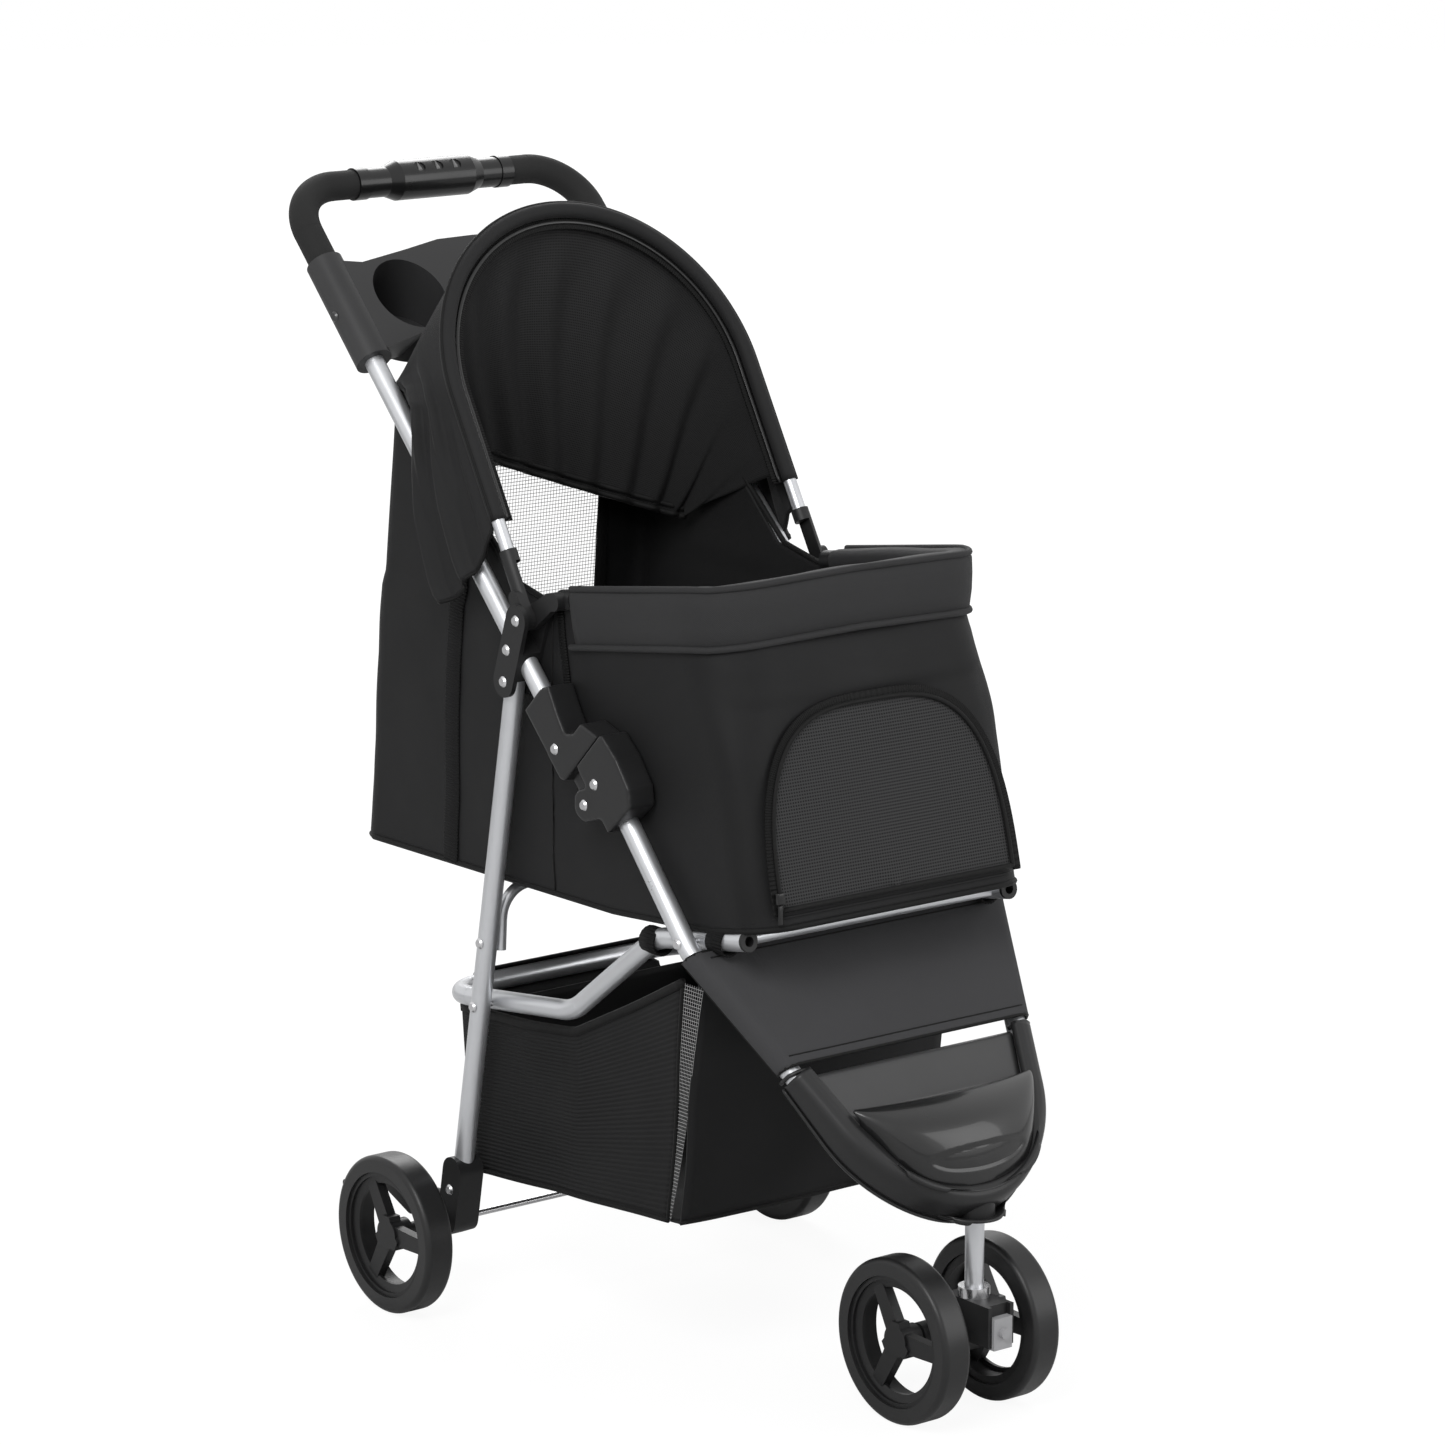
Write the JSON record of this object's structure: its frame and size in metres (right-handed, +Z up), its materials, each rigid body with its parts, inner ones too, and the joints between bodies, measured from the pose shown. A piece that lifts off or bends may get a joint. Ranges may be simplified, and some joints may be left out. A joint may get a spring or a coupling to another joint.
{
  "type": "pet stroller",
  "caption": "Folding pet stroller: fabric cabin with hood and rim, lower basket, cup tray, tubular frame, rear wheels and a swivelling twin-wheel front caster.",
  "frame": {"origin": "middle of the footprint's bounding box, on the floor", "axes": "+Z up, -Y towards the front caster, +X to the pusher's left"},
  "size_m": [0.473, 0.844, 1.0055],
  "materials": {
    "tube_silver": "satin",
    "foam": "matte",
    "gloss_black": "gloss",
    "matte_black": "matte",
    "rivet_steel": "satin",
    "black_fabric": "matte",
    "webbing": "ribbed",
    "tyre": "matte",
    "grey_plastic": "satin"
  },
  "bodies": {
    "handle_frame": {"handle_tube": "tube_silver", "handle_foam_left": "foam", "handle_foam_right": "foam", "handle_grip": "gloss_black", "grip_collars": "matte_black", "cup_tray": "matte_black", "tray_rivets": "rivet_steel", "joint_plate_left": "matte_black", "joint_plate_right": "matte_black", "frame_rivets": "rivet_steel", "fold_joint_upper_left": "matte_black", "fold_joint_upper_right": "matte_black", "cabin": "black_fabric", "base_pad": "black_fabric"},
    "front_legs": {"front_leg_tube": "tube_silver", "fold_joint_lower_left": "matte_black", "fold_joint_lower_right": "matte_black", "fold_pins": "rivet_steel", "cradle_pins": "rivet_steel", "banner": "black_fabric", "nose_tray": "gloss_black", "nose_block": "matte_black", "caster_stem": "tube_silver"},
    "rear_legs": {"rear_leg_left": "tube_silver", "rear_leg_right": "tube_silver", "arch_brace": "tube_silver", "axle_bracket_left": "matte_black", "axle_bracket_right": "matte_black", "rear_axle": "rivet_steel", "axle_spacers": "matte_black", "leg_rivets": "rivet_steel"},
    "cradle": {"cradle_tube": "tube_silver", "cradle_crossbar": "tube_silver", "tube_plugs": "matte_black", "basket": "black_fabric", "cabin_straps": "webbing"},
    "rim": {"rim_hoop": "tube_silver", "rim_sockets": "matte_black"},
    "hood": {"canopy_bow": "tube_silver", "canopy_sockets": "matte_black", "canopy_cover": "black_fabric"},
    "caster": {"caster_collar": "rivet_steel", "caster_fork": "matte_black", "fork_screw": "rivet_steel", "front_axle": "rivet_steel"},
    "lock": {"swivel_lock": "grey_plastic"},
    "front_wheel_left": {"front_tyre_left": "tyre", "front_hub_left": "matte_black"},
    "front_wheel_right": {"front_tyre_right": "tyre", "front_hub_right": "matte_black"},
    "rear_wheel_left": {"rear_tyre_left": "tyre", "rear_hub_left": "matte_black"},
    "rear_wheel_right": {"rear_tyre_right": "tyre", "rear_hub_right": "matte_black"},
    "brake_left": {"brake_lever_left": "matte_black"},
    "brake_right": {"brake_lever_right": "matte_black"}
  },
  "joints": [
    {"name": "fold", "type": "hinge", "parent": "handle_frame", "child": "front_legs", "pos_m": [0, -0.07357, 0.5066], "axis": [1, 0, 0], "range_deg": [0, 140], "deforming": ["cabin", "base_pad", "basket", "banner", "canopy_cover", "cabin_straps"]},
    {"name": "rear_leg_fold", "type": "hinge", "parent": "handle_frame", "child": "rear_legs", "pos_m": [0, 0.04704, 0.594], "axis": [1, 0, 0], "range_deg": [0, 98]},
    {"name": "cradle_fold", "type": "hinge", "parent": "rear_legs", "child": "cradle", "pos_m": [0, 0.10445, 0.287], "axis": [1, 0, 0], "range_deg": [-41, 0]},
    {"name": "rim_fold", "type": "hinge", "parent": "handle_frame", "child": "rim", "pos_m": [0, 0.02803, 0.65093], "axis": [1, 0, 0], "range_deg": [-100, 0], "deforming": ["cabin"]},
    {"name": "hood_fold", "type": "hinge", "parent": "handle_frame", "child": "hood", "pos_m": [0, 0.02803, 0.65093], "axis": [1, 0, 0], "range_deg": [0, 60], "deforming": ["canopy_cover"]},
    {"name": "caster_swivel", "type": "hinge", "parent": "front_legs", "child": "caster", "pos_m": [0, -0.37996, 0.1], "axis": [0, 0, 1], "continuous": true},
    {"name": "swivel_lock_slide", "type": "slide", "parent": "caster", "child": "lock", "axis": [0, 0, 1], "range_m": [0, 0.008]},
    {"name": "front_wheel_left_spin", "type": "hinge", "parent": "caster", "child": "front_wheel_left", "pos_m": [0, -0.34696, 0.0725], "axis": [1, 0, 0], "continuous": true},
    {"name": "front_wheel_right_spin", "type": "hinge", "parent": "caster", "child": "front_wheel_right", "pos_m": [0, -0.34696, 0.0725], "axis": [1, 0, 0], "continuous": true},
    {"name": "rear_wheel_left_spin", "type": "hinge", "parent": "rear_legs", "child": "rear_wheel_left", "pos_m": [0, 0.16104, 0.0725], "axis": [1, 0, 0], "continuous": true},
    {"name": "rear_wheel_right_spin", "type": "hinge", "parent": "rear_legs", "child": "rear_wheel_right", "pos_m": [0, 0.16104, 0.0725], "axis": [1, 0, 0], "continuous": true},
    {"name": "brake_left_press", "type": "hinge", "parent": "rear_legs", "child": "brake_left", "pos_m": [0, 0.19004, 0.0845], "axis": [-1, 0, 0], "range_deg": [0, 16]},
    {"name": "brake_right_press", "type": "hinge", "parent": "rear_legs", "child": "brake_right", "pos_m": [0, 0.19004, 0.0845], "axis": [-1, 0, 0], "range_deg": [0, 16]}
  ],
  "couplings": [
    {"joint": "rear_leg_fold", "follows": "fold", "ratio": 0.7},
    {"joint": "cradle_fold", "follows": "fold", "ratio": -0.2914}
  ]
}
